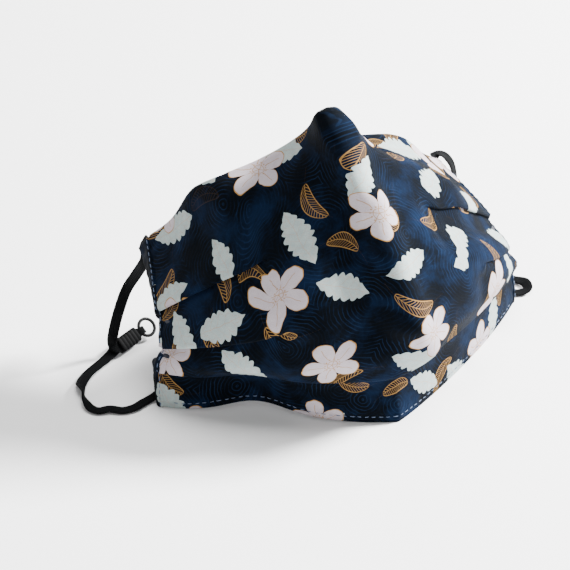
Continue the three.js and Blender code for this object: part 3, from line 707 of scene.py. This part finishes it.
def band(side, section):
    points = band_points(side, section)
    middles = np.array([p[0] for p in points])
    gaps = np.linalg.norm(np.diff(middles, axis=0), axis=1)
    knots = np.concatenate([[0], np.cumsum(np.sqrt(gaps))])
    wanted = np.concatenate([
        np.linspace(knots[k], knots[k + 1], max(2, int(gaps[k] / BAND_STEP) + 1), endpoint=False)
        for k in range(len(gaps))
    ] + [[knots[-1]]])
    line = catmull(middles, knots, wanted)
    ahead = unit(np.gradient(line, axis=0))
    looks = [unit(points[0][1])]
    for _, look, _ in points[1:]:
        looks.append(look if np.dot(look, looks[-1]) >= 0 else -look)
    looks = np.array(looks)
    faces_at = read_off(wanted, knots, looks)
    shares = np.interp(wanted, knots, [p[2] for p in points])
    faces_at = unit(faces_at - ahead * np.sum(faces_at * ahead, 1, keepdims=True))
    wide = unit(np.cross(ahead, faces_at))
    run = run_of(line)
    half = BAND_THICKNESS / 2
    profile = [
        (0.94, 0.55), (1.0, 0), (0.94, -0.55), (0.8, -0.95), (0.4, -1.0), (0, -0.9),
        (-0.4, -1.0), (-0.8, -0.95), (-0.94, -0.55), (-1.0, 0), (-0.94, 0.55), (-0.8, 0.95),
        (-0.4, 1.0), (0, 0.9), (0.4, 1.0), (0.8, 0.95),
    ]
    rings = []
    for k in range(len(line)):
        rings.append([
            line[k] + wide[k] * BAND_WIDTH / 2 * shares[k] * across + faces_at[k] * half * up
            for across, up in profile
        ])
    obj = sweep(f"{side}_elastic", rings, run / BAND_UV_UNIT)
    return obj, line, run[-1]


def rounded_ring(across, up, corner, sides=6):
    """Points round a rectangle with round corners, half sizes across and up."""
    spots = []
    for cx, cy, start in ((1, 1, 90), (1, -1, 0), (-1, -1, -90), (-1, 1, -180)):
        for k in range(sides):
            turn = math.radians(start - 90 * k / (sides - 1))
            spots.append((cx * (across - corner) + corner * math.cos(turn),
                          cy * (up - corner) + corner * math.sin(turn)))
    return spots


def sleeve(side):
    start, axis, wide, face = sleeve_frame(side)
    across = BAND_WIDTH / 2 + PIECE_GAP
    up = (STRAND_SPACING + BAND_THICKNESS) / 2 + PIECE_GAP
    steps = SLEEVE_RIBS * 8
    pitch = SLEEVE_LENGTH / SLEEVE_RIBS

    def ring(along, grow, corner):
        spots = rounded_ring(across + grow, up + grow, corner)
        return [start + axis * along + wide * a + face * b for a, b in spots]

    # from inside the mouth over its lip: distance from the end, growth and corner radius
    mouth = (
        (SLEEVE_MOUTH, 0.0, 0.5), (SLEEVE_LIP, 0.0, 0.5), (0.0, SLEEVE_LIP, 0.6),
        (0.0, SLEEVE_WALL * 0.45, 0.8),
    )
    rings = [ring(*row) for row in mouth]
    for k in range(steps + 1):
        along = 0.12 + (SLEEVE_LENGTH - 0.24) * k / steps
        wave = abs(math.sin(math.pi * (along / pitch)))
        rings.append(ring(along, SLEEVE_WALL * (0.62 + 0.38 * wave ** 0.7), 1.15))
    rings += [ring(SLEEVE_LENGTH - depth, grow, corner) for depth, grow, corner in mouth[::-1]]
    return sweep(f"{side}_sleeve", rings, np.linspace(0, 1, len(rings)))


def ring_piece(side):
    start, axis, wide, face = sleeve_frame(side)
    radius = (RING_DIAMETER - RING_WIRE) / 2
    centre = start + axis * (SLEEVE_LENGTH + WIRE_STANDOFF + radius)
    around, across = 72, 16
    points = []
    for i in range(around):
        turn = 2 * math.pi * i / around
        out = axis * math.cos(turn) + wide * math.sin(turn)
        for j in range(across):
            tilt = 2 * math.pi * j / across
            points.append(centre + out * (radius + RING_WIRE / 2 * math.cos(tilt))
                          + face * RING_WIRE / 2 * math.sin(tilt))
    faces = grid_faces(around + 1, across, wrap=True) % (around * across)
    uv = [(f // across / around, f % across / across) for f in faces.ravel()]
    return mesh_object(f"{side}_ring", points, faces, uv)


# Topstitching: rows of short sunk threads

def stitches(name, rows):
    """rows is a list of (points, normals) lines that lie on the cloth."""
    points, faces = [], []
    ring_sizes = ((0.0, 0.35), (0.12, 0.85), (0.3, 1.0), (0.7, 1.0), (0.88, 0.85), (1.0, 0.35))
    sides = 6
    for line, normals in rows:
        run = run_of(line)
        place = STITCH_GAP
        while place + STITCH_LENGTH < run[-1]:
            start = len(points)
            skew = RNG.normal(0, 0.06)
            length = STITCH_LENGTH * RNG.uniform(0.88, 1.08)
            for share, size in ring_sizes:
                spot = place + length * share
                middle = read_off(spot, run, line)
                ahead = unit(read_off(spot + 0.3, run, line) - middle)
                out = unit(read_off(spot, run, normals))
                wide = unit(np.cross(ahead, out))
                sink = 0.16 * (2 * share - 1) ** 2
                for j in range(sides):
                    turn = 2 * math.pi * j / sides
                    off = STITCH_WIDTH * size * math.cos(turn) + skew * (share - 0.5) * 2
                    up = STITCH_HEIGHT * size * math.sin(turn) + 0.06 - sink
                    points.append(middle + wide * off + out * up)
            faces += grid_faces(len(ring_sizes), sides, wrap=True, start=start).tolist()
            faces.append(list(range(start, start + sides))[::-1])
            faces.append(list(range(len(points) - sides, len(points))))
            place += length + STITCH_GAP
    return mesh_object(name, points, faces)


def stitch_rows(sections):
    rows = []
    for side, section in (("left", sections[0]), ("right", sections[-1])):
        frames = hem_frames(side, section, HEM_STEPS)
        line = [hem_point(frame_at, HEM_STITCH, False) for frame_at in frames]
        rows.append((np.array(line), np.array([frame_at[1] for frame_at in frames])))
    line, normals = [], []
    for section in sections[4:-4]:
        point, normal = section.at(section.length - EDGE_SEAM)
        lift = WAVE_HEIGHT * unevenness(
            np.array([section.across * FLAT_WIDTH / 2]), np.array([FLAT_HEIGHT - EDGE_SEAM]))[0]
        line.append(point + normal * (CLOTH_WALL / 2 + lift * float(smooth(EDGE_SEAM / EDGE_EASE))))
        normals.append(normal)
    rows.append((np.array(line), np.array(normals)))
    return rows


# Materials, all from nodes. Lengths on the cloth are in millimetres

RIPPLE_CELL = 26
RIPPLE_WAVE = 1.5
SPRIG_SPACING = 25
LEAF_SPACING = 33
BLOSSOM_SPACING = 47
WEAVE_PITCH = 0.42
LINING_PITCH = 0.5


class Nodes:
    """Short forms for building a node tree."""

    def __init__(self, name):
        self.material = bpy.data.materials.new(name)
        self.material.use_nodes = True
        self.tree = self.material.node_tree
        self.shader = self.tree.nodes["Principled BSDF"]

    def put(self, socket, value):
        if isinstance(value, bpy.types.NodeSocket):
            self.tree.links.new(value, socket)
        elif value is not None:
            socket.default_value = value

    def new(self, kind, values=None, **settings):
        node = self.tree.nodes.new(kind)
        for key, value in settings.items():
            setattr(node, key, value)
        for key, value in (values or {}).items():
            self.put(node.inputs[key], value)
        return node

    def maths(self, operation, *values):
        node = self.new("ShaderNodeMath", operation=operation)
        for socket, value in zip(node.inputs, values):
            self.put(socket, value)
        return node.outputs[0]

    def times(self, a, b):
        return self.maths("MULTIPLY", a, b)

    def times_plus(self, a, b, c):
        return self.maths("MULTIPLY_ADD", a, b, c)

    def minus(self, a, b):
        return self.maths("SUBTRACT", a, b)

    def larger(self, a, b):
        return self.maths("MAXIMUM", a, b)

    def size(self, a):
        return self.maths("ABSOLUTE", a)

    def sine(self, a):
        return self.maths("SINE", a)

    def vector(self, operation, a, b=None, output="Vector"):
        node = self.new("ShaderNodeVectorMath", operation=operation)
        self.put(node.inputs[0], a)
        self.put(node.inputs[1], b)
        return node.outputs[output]

    def step(self, value, low, high, to_low=0.0, to_high=1.0):
        node = self.new("ShaderNodeMapRange", {
            "Value": value, "From Min": low, "From Max": high, "To Min": to_low, "To Max": to_high,
        }, interpolation_type="SMOOTHSTEP")
        return node.outputs["Result"]

    def blend(self, share, first, second):
        return self.new("ShaderNodeMix", {0: share, 6: first, 7: second}, data_type="RGBA").outputs[2]

    def noise(self, vector, scale, detail=2.0, rough=0.5, output="Fac"):
        node = self.new("ShaderNodeTexNoise", {
            "Vector": vector, "Scale": scale, "Detail": detail, "Roughness": rough})
        return node.outputs[output]

    def cells(self, vector, size, randomness):
        return self.new("ShaderNodeTexVoronoi", {
            "Vector": vector, "Scale": 1 / size, "Randomness": randomness,
        }, voronoi_dimensions="2D", feature="F1")

    def bump(self, height, strength, distance, normal=None):
        node = self.new("ShaderNodeBump", {
            "Strength": strength, "Distance": distance, "Height": height, "Normal": normal})
        return node.outputs["Normal"]

    def set(self, **values):
        for key, value in values.items():
            self.put(self.shader.inputs[key.replace("_", " ")], value)


def colour(red, green, blue):
    """An sRGB colour of 0 to 255 as linear values."""
    shares = [value / 255 for value in (red, green, blue)]
    linear = [v / 12.92 if v < 0.04 else ((v + 0.055) / 1.055) ** 2.4 for v in shares]
    return (*linear, 1.0)


def cloth_place(n):
    """Place on the flat cloth, in millimetres."""
    flat = n.new("ShaderNodeUVMap", uv_map="UVMap").outputs[0]
    return n.vector("MULTIPLY", flat, (CLOTH_UV_UNIT, CLOTH_UV_UNIT, 0.0))


def weave_height(n, place, pitch):
    """Plain weave: over and under threads of that pitch, in millimetres."""
    parts = n.new("ShaderNodeSeparateXYZ", {"Vector": place})
    rate = 2 * math.pi / pitch
    warp = n.sine(n.times(parts.outputs[0], rate))
    weft = n.sine(n.times(parts.outputs[1], rate))
    return n.times(warp, weft)


def turned_place(n, place, scale, randomness):
    """Place from the middle of a scattered motif, turned by chance, and two chance values."""
    cell = n.cells(place, scale, randomness)
    middle = n.vector("MULTIPLY", cell.outputs["Position"], (1.0, 1.0, 0.0))
    local = n.vector("SUBTRACT", place, middle)
    chance = n.new("ShaderNodeSeparateColor", {"Color": cell.outputs["Color"]})
    turn = n.times(chance.outputs[0], 2 * math.pi)
    turned = n.new("ShaderNodeVectorRotate", {"Vector": local, "Angle": turn},
                   rotation_type="Z_AXIS")
    parts = n.new("ShaderNodeSeparateXYZ", {"Vector": turned.outputs[0]})
    return parts.outputs[0], parts.outputs[1], chance.outputs[1], chance.outputs[2]


def line_mask(n, value, half, soft=0.07):
    """1 where value is within half of zero."""
    return n.step(n.size(value), half + soft, half - soft)


def printed_cloth():
    """Navy cotton with a scattered print of pale leaves, rose-white blossoms and gold line work."""
    n = Nodes("printed_cotton")
    place = cloth_place(n)
    wander = n.noise(place, 0.16, output="Color")
    shift = n.vector("SUBTRACT", wander, (0.5, 0.5, 0.5))
    drawn = n.vector("ADD", place, n.vector("MULTIPLY", shift, (2.4, 2.4, 0.0)))

    # ground: washed navy with ripple arcs
    blotch = n.noise(drawn, 0.055, 5.0, 0.62)
    ground = n.blend(n.step(blotch, 0.44, 0.66), colour(3, 6, 11), colour(7, 21, 41))
    cell = n.cells(drawn, RIPPLE_CELL, 1.0)
    ripple = n.sine(n.times(cell.outputs["Distance"], 2 * math.pi * RIPPLE_CELL / RIPPLE_WAVE))
    where = n.step(n.noise(place, 0.09, 2.0), 0.42, 0.62)
    ripple = n.times(n.step(ripple, 0.55, 0.95), n.times_plus(where, 0.3, 0.05))
    ground = n.blend(ripple, ground, colour(22, 42, 71))

    # gold line sprigs
    x, y, size, kind = turned_place(n, place, SPRIG_SPACING, 0.62)
    bent = n.minus(y, n.times(n.times(x, x), 0.045))
    side = n.size(bent)
    reach = n.times_plus(size, 3.0, 5.6)
    share = n.maths("DIVIDE", x, reach)
    room = n.minus(1.0, n.times(share, share))
    half = n.times(n.maths("SQRT", n.larger(room, 0.0)), 2.9)
    inside = n.step(n.minus(half, side), -0.05, 0.1)
    barb = n.maths("FRACT", n.maths("DIVIDE", n.times_plus(side, 0.85, x), 1.15))
    barb = n.times(n.minus(barb, 0.5), 1.15)
    lines = n.times(n.larger(line_mask(n, barb, 0.12), line_mask(n, bent, 0.14)), inside)
    rim = n.times(line_mask(n, n.minus(half, side), 0.17), n.step(room, 0.0, 0.02))
    sprig = n.times(n.larger(lines, rim), n.step(kind, 0.28, 0.3))
    gold = colour(142, 108, 60)
    painted = n.blend(n.times(sprig, 0.85), ground, gold)

    # pale lobed leaves
    x, y, size, kind = turned_place(n, drawn, LEAF_SPACING, 0.55)
    reach = n.times_plus(size, 4.5, 9.0)
    share = n.maths("DIVIDE", x, reach)
    room = n.minus(1.0, n.times(share, share))
    lobes = n.size(n.sine(n.times(x, 0.95)))
    width = n.times_plus(size, 1.6, 4.2)
    width = n.times(width, n.times_plus(lobes, 0.3, 0.8))
    edge = n.minus(n.times(width, n.larger(room, -1.0)), n.size(y))
    shown = n.step(kind, 0.16, 0.17)
    leaf = n.times(n.step(edge, -0.06, 0.08), shown)
    pale_shade = n.noise(place, 0.35, 3.0)
    pale = n.blend(pale_shade, colour(130, 146, 146), colour(164, 173, 171))
    painted = n.blend(leaf, painted, pale)
    vein = line_mask(n, y, 0.1)
    rib = n.maths("FRACT", n.maths("DIVIDE", n.times_plus(n.size(y), -0.8, x), 3.3))
    rib = line_mask(n, n.times(n.minus(rib, 0.5), 3.3), 0.07)
    contour = line_mask(n, n.minus(edge, 1.3), 0.07)
    inner = n.times(n.larger(n.larger(vein, rib), contour), n.step(edge, 0.2, 0.3))
    inner = n.times(n.times(inner, shown), 0.5)
    painted = n.blend(inner, painted, colour(166, 126, 100))

    # rose-white blossoms with gold outlines
    x, y, size, kind = turned_place(n, drawn, BLOSSOM_SPACING, 0.5)
    off = n.new("ShaderNodeCombineXYZ", {"X": x, "Y": y}).outputs[0]
    radius = n.vector("LENGTH", off, output="Value")
    turn = n.times(n.maths("ARCTAN2", y, x), 2.5)
    petals = n.maths("POWER", n.size(n.maths("COSINE", turn)), 0.62)
    full = n.times_plus(size, 2.5, 10.0)
    edge = n.minus(n.times(full, n.times_plus(petals, 0.62, 0.38)), radius)
    bloom = n.step(edge, -0.06, 0.08)
    rose_shade = n.noise(place, 0.3, 3.0)
    rose = n.blend(rose_shade, colour(156, 147, 154), colour(176, 168, 172))
    painted = n.blend(bloom, painted, rose)
    rim = line_mask(n, edge, 0.2)
    spoke = line_mask(n, n.times(n.sine(turn), radius), 0.32)
    spoke = n.times(spoke, n.times(n.step(edge, 2.2, 2.6), n.step(radius, 2.6, 2.9)))
    between = line_mask(n, n.times(n.maths("COSINE", turn), radius), 0.3)
    between = n.times(between, n.step(radius, 4.4, 3.6))
    heart = line_mask(n, n.minus(radius, 1.9), 0.14)
    dots = line_mask(n, n.minus(radius, 2.7), 0.3)
    dots = n.times(dots, n.step(n.sine(n.times(turn, 4.8)), 0.3, 0.6))
    detail = n.larger(n.larger(spoke, between), n.larger(heart, dots))
    detail = n.larger(n.times(detail, 0.8), rim)
    painted = n.blend(detail, painted, colour(146, 110, 62))

    # worn print, threads and small slubs
    grain = n.noise(place, 2.6, 3.0, 0.7)
    value = n.step(grain, 0.25, 0.75, 0.86, 1.12)
    tint = n.new("ShaderNodeHueSaturation", {"Color": painted, "Value": value, "Saturation": 1.0})
    woven = weave_height(n, place, WEAVE_PITCH)
    slub = n.noise(n.vector("MULTIPLY", place, (0.35, 3.2, 1.0)), 1.0)
    height = n.times_plus(slub, 0.9, n.times(woven, 0.5))
    normal = n.bump(height, 0.35, 0.00012)
    soft = n.bump(n.noise(place, 0.22, 3.0), 0.3, 0.0008, normal)
    n.set(Base_Color=tint.outputs[0], Normal=soft)
    n.set(Roughness=0.88, Sheen_Weight=0.012, Sheen_Roughness=0.5, Specular_IOR_Level=0.03)
    return n.material


def lining():
    n = Nodes("lining_cotton")
    place = cloth_place(n)
    fade = n.noise(place, 0.12, 4.0)
    n.set(Base_Color=n.blend(fade, colour(8, 12, 25), colour(15, 22, 42)))
    woven = weave_height(n, place, LINING_PITCH)
    n.set(Normal=n.bump(n.times_plus(n.noise(place, 1.5), 0.8, woven), 0.4, 0.00015))
    n.set(Roughness=0.92, Sheen_Weight=0.1)
    return n.material


def elastic():
    """Black knitted elastic: fine ribs along it and a rib stitch across, with a painted highlight on
    the raised ribs.
    """
    n = Nodes("knitted_elastic")
    band_place = n.new("ShaderNodeUVMap", uv_map="UVMap").outputs[0]
    parts = n.new("ShaderNodeSeparateXYZ", {"Vector": band_place})
    along = n.times(parts.outputs[0], BAND_UV_UNIT)
    ribs = n.sine(n.times(parts.outputs[1], 2 * math.pi * 18))
    cross = n.sine(n.maths("ADD", n.times(along, 2 * math.pi / 0.7), ribs))
    height = n.times_plus(cross, 0.5, ribs)
    place = n.new("ShaderNodeCombineXYZ", {"X": along, "Y": n.times(parts.outputs[1], 10.0)})
    fuzz = n.noise(place.outputs[0], 2.2, 3.0)
    # lighter colour where the ribs stand up, at random strength from the fuzz: painted highlight on
    # the rib tops, mixed with random fibre tone
    light = n.times(fuzz, n.step(height, -0.6, 1.2))
    n.set(Base_Color=n.blend(light, colour(2, 3, 4), colour(13, 14, 17)))
    n.set(Normal=n.bump(height, 0.5, 0.00012))
    n.set(Roughness=0.85, Specular_IOR_Level=0.1)
    return n.material


def speckled(name, scale, detail, dark, light, **settings):
    """A plain finish with fine specks: its nodes and how light the specks are."""
    n = Nodes(name)
    place = n.new("ShaderNodeTexCoord").outputs["Object"]
    speck = n.noise(place, scale, detail)
    n.set(Base_Color=n.blend(speck, dark, light), **settings)
    return n, speck


def soft_rubber():
    n, speck = speckled("soft_rubber", 1800.0, 3.0, colour(2, 2, 3), colour(9, 10, 12),
                        Roughness=0.75, Specular_IOR_Level=0.15)
    n.set(Normal=n.bump(speck, 0.25, 0.0001))
    return n.material


def coated_ring():
    n, speck = speckled("coated_ring", 900.0, 2.0, colour(3, 3, 4), colour(9, 9, 11),
                        Specular_IOR_Level=0.2)
    n.set(Normal=n.bump(speck, 0.1, 0.00005), Roughness=n.step(speck, 0.3, 0.7, 0.5, 0.6))
    return n.material


def thread():
    n, speck = speckled("pale_thread", 2600.0, 2.0, colour(56, 72, 98), colour(100, 114, 138),
                        Roughness=0.75)
    n.set(Normal=n.bump(speck, 0.4, 0.0001))
    return n.material


def floor_material():
    n, _ = speckled("pale_floor", 2.0, 2.0, (0.95, 0.95, 0.95, 1), (0.97, 0.97, 0.97, 1),
                    Roughness=0.95, Specular_IOR_Level=0.1)
    return n.material


# The row frame: the part is moved so that its cloth is centred, so the ring tells how far
def frame_offset():
    start, axis, _, _ = sleeve_frame("left")
    centre = start + axis * (SLEEVE_LENGTH + WIRE_STANDOFF + (RING_DIAMETER - RING_WIRE) / 2)
    low, high = (np.array(corner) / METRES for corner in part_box("left_adjuster_ring"))
    return (low + high) / 2 - centre


OFFSET = frame_offset()


def camera():
    azimuth, elevation = math.radians(CAMERA_AZIMUTH), math.radians(CAMERA_ELEVATION)
    level = math.cos(elevation)
    back = np.array([math.sin(azimuth) * level, -math.cos(azimuth) * level, math.sin(elevation)])
    place = (np.array(CAMERA_TARGET) + OFFSET * (1, 1, 0) + back * CAMERA_DISTANCE) * METRES
    data = bpy.data.cameras.new("camera")
    data.sensor_width = SENSOR_WIDTH
    data.lens = FOCAL_PIXELS / FRAME_PIXELS * SENSOR_WIDTH
    data.clip_start = 0.05
    data.clip_end = 20
    obj = new_object("camera", data)
    obj.location = place
    obj.rotation_euler = (math.pi / 2 - elevation, 0, azimuth)
    bpy.context.scene.camera = obj


def area_light(name, place, target, size, power):
    data = bpy.data.lights.new(name, "AREA")
    data.shape = "DISK"
    data.size = size
    data.energy = power
    obj = new_object(name, data)
    obj.location = place
    aim = np.array(place) - np.array(target)
    turn = math.atan2(aim[1], aim[0]) + math.pi / 2
    tilt = math.atan2(math.hypot(aim[0], aim[1]), aim[2])
    obj.rotation_euler = (tilt, 0, turn)


# name, place and target in metres, size in metres and power in watts
LIGHTS = (
    ("key", (1.15, -0.12, 0.85), (0, 0, 0.03), 0.36, 150),
    ("top", (0.2, 0.2, 1.6), (0, 0, 0), 1.0, 28),
    ("fill", (-0.3, -1.4, 1.0), (0, 0, 0.04), 1.0, 2),
)
WORLD_STRENGTH = 0.52
FLOOR_SIZE = 8.0
FLOOR_GAP = 0.0002      # between the surface and the floor's face, in metres


def lights_and_floor():
    for light in LIGHTS:
        area_light(*light)
    world = bpy.data.worlds.new("studio")
    world.use_nodes = True
    background = world.node_tree.nodes["Background"]
    background.inputs[0].default_value = (1, 1, 1, 1)
    background.inputs[1].default_value = WORLD_STRENGTH
    bpy.context.scene.world = world
    mesh = bpy.data.meshes.new("floor")
    half = FLOOR_SIZE / 2
    corners = [(-half, -half, 0), (half, -half, 0), (half, half, 0), (-half, half, 0)]
    mesh.from_pydata(corners, [], [(0, 1, 2, 3)])
    obj = new_object("floor", mesh)
    obj.location = (0, 0, -FLOOR_GAP)
    obj.data.materials.append(floor_material())


camera()
end_sections = make_sections(2)
black_elastic, rubber, ring_finish = elastic(), soft_rubber(), coated_ring()
for side, section in zip(("left", "right"), end_sections):
    loop, line, length = band(side, section)
    loop.data.materials.append(black_elastic)
    sleeve_piece = sleeve(side)
    sleeve_piece.data.materials.append(rubber)
    ring = ring_piece(side)
    ring.data.materials.append(ring_finish)
    for piece, node, slot in (
        (loop, f"{side}_ear_loop", "elastic"),
        (sleeve_piece, f"{side}_adjuster_sleeve", "sleeve"),
        (ring, f"{side}_adjuster_ring", "ring"),
    ):
        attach(piece, "root")
        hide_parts(node)

print_cloth, lining_cloth = printed_cloth(), lining()
cloth_piece, sections = panel()
cloth_piece.data.materials.append(print_cloth)
cloth_piece.data.materials.append(lining_cloth)
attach(cloth_piece, "root")
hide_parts("pleated_panel")
for side, section in (("left", sections[0]), ("right", sections[-1])):
    casing = hem(side, section)
    casing.data.materials.append(print_cloth)
    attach(casing, "root")
    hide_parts(f"{side}_side_hem")
sewing = stitches("topstitching", stitch_rows(sections))
sewing.data.materials.append(thread())
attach(sewing, "root")

lights_and_floor()
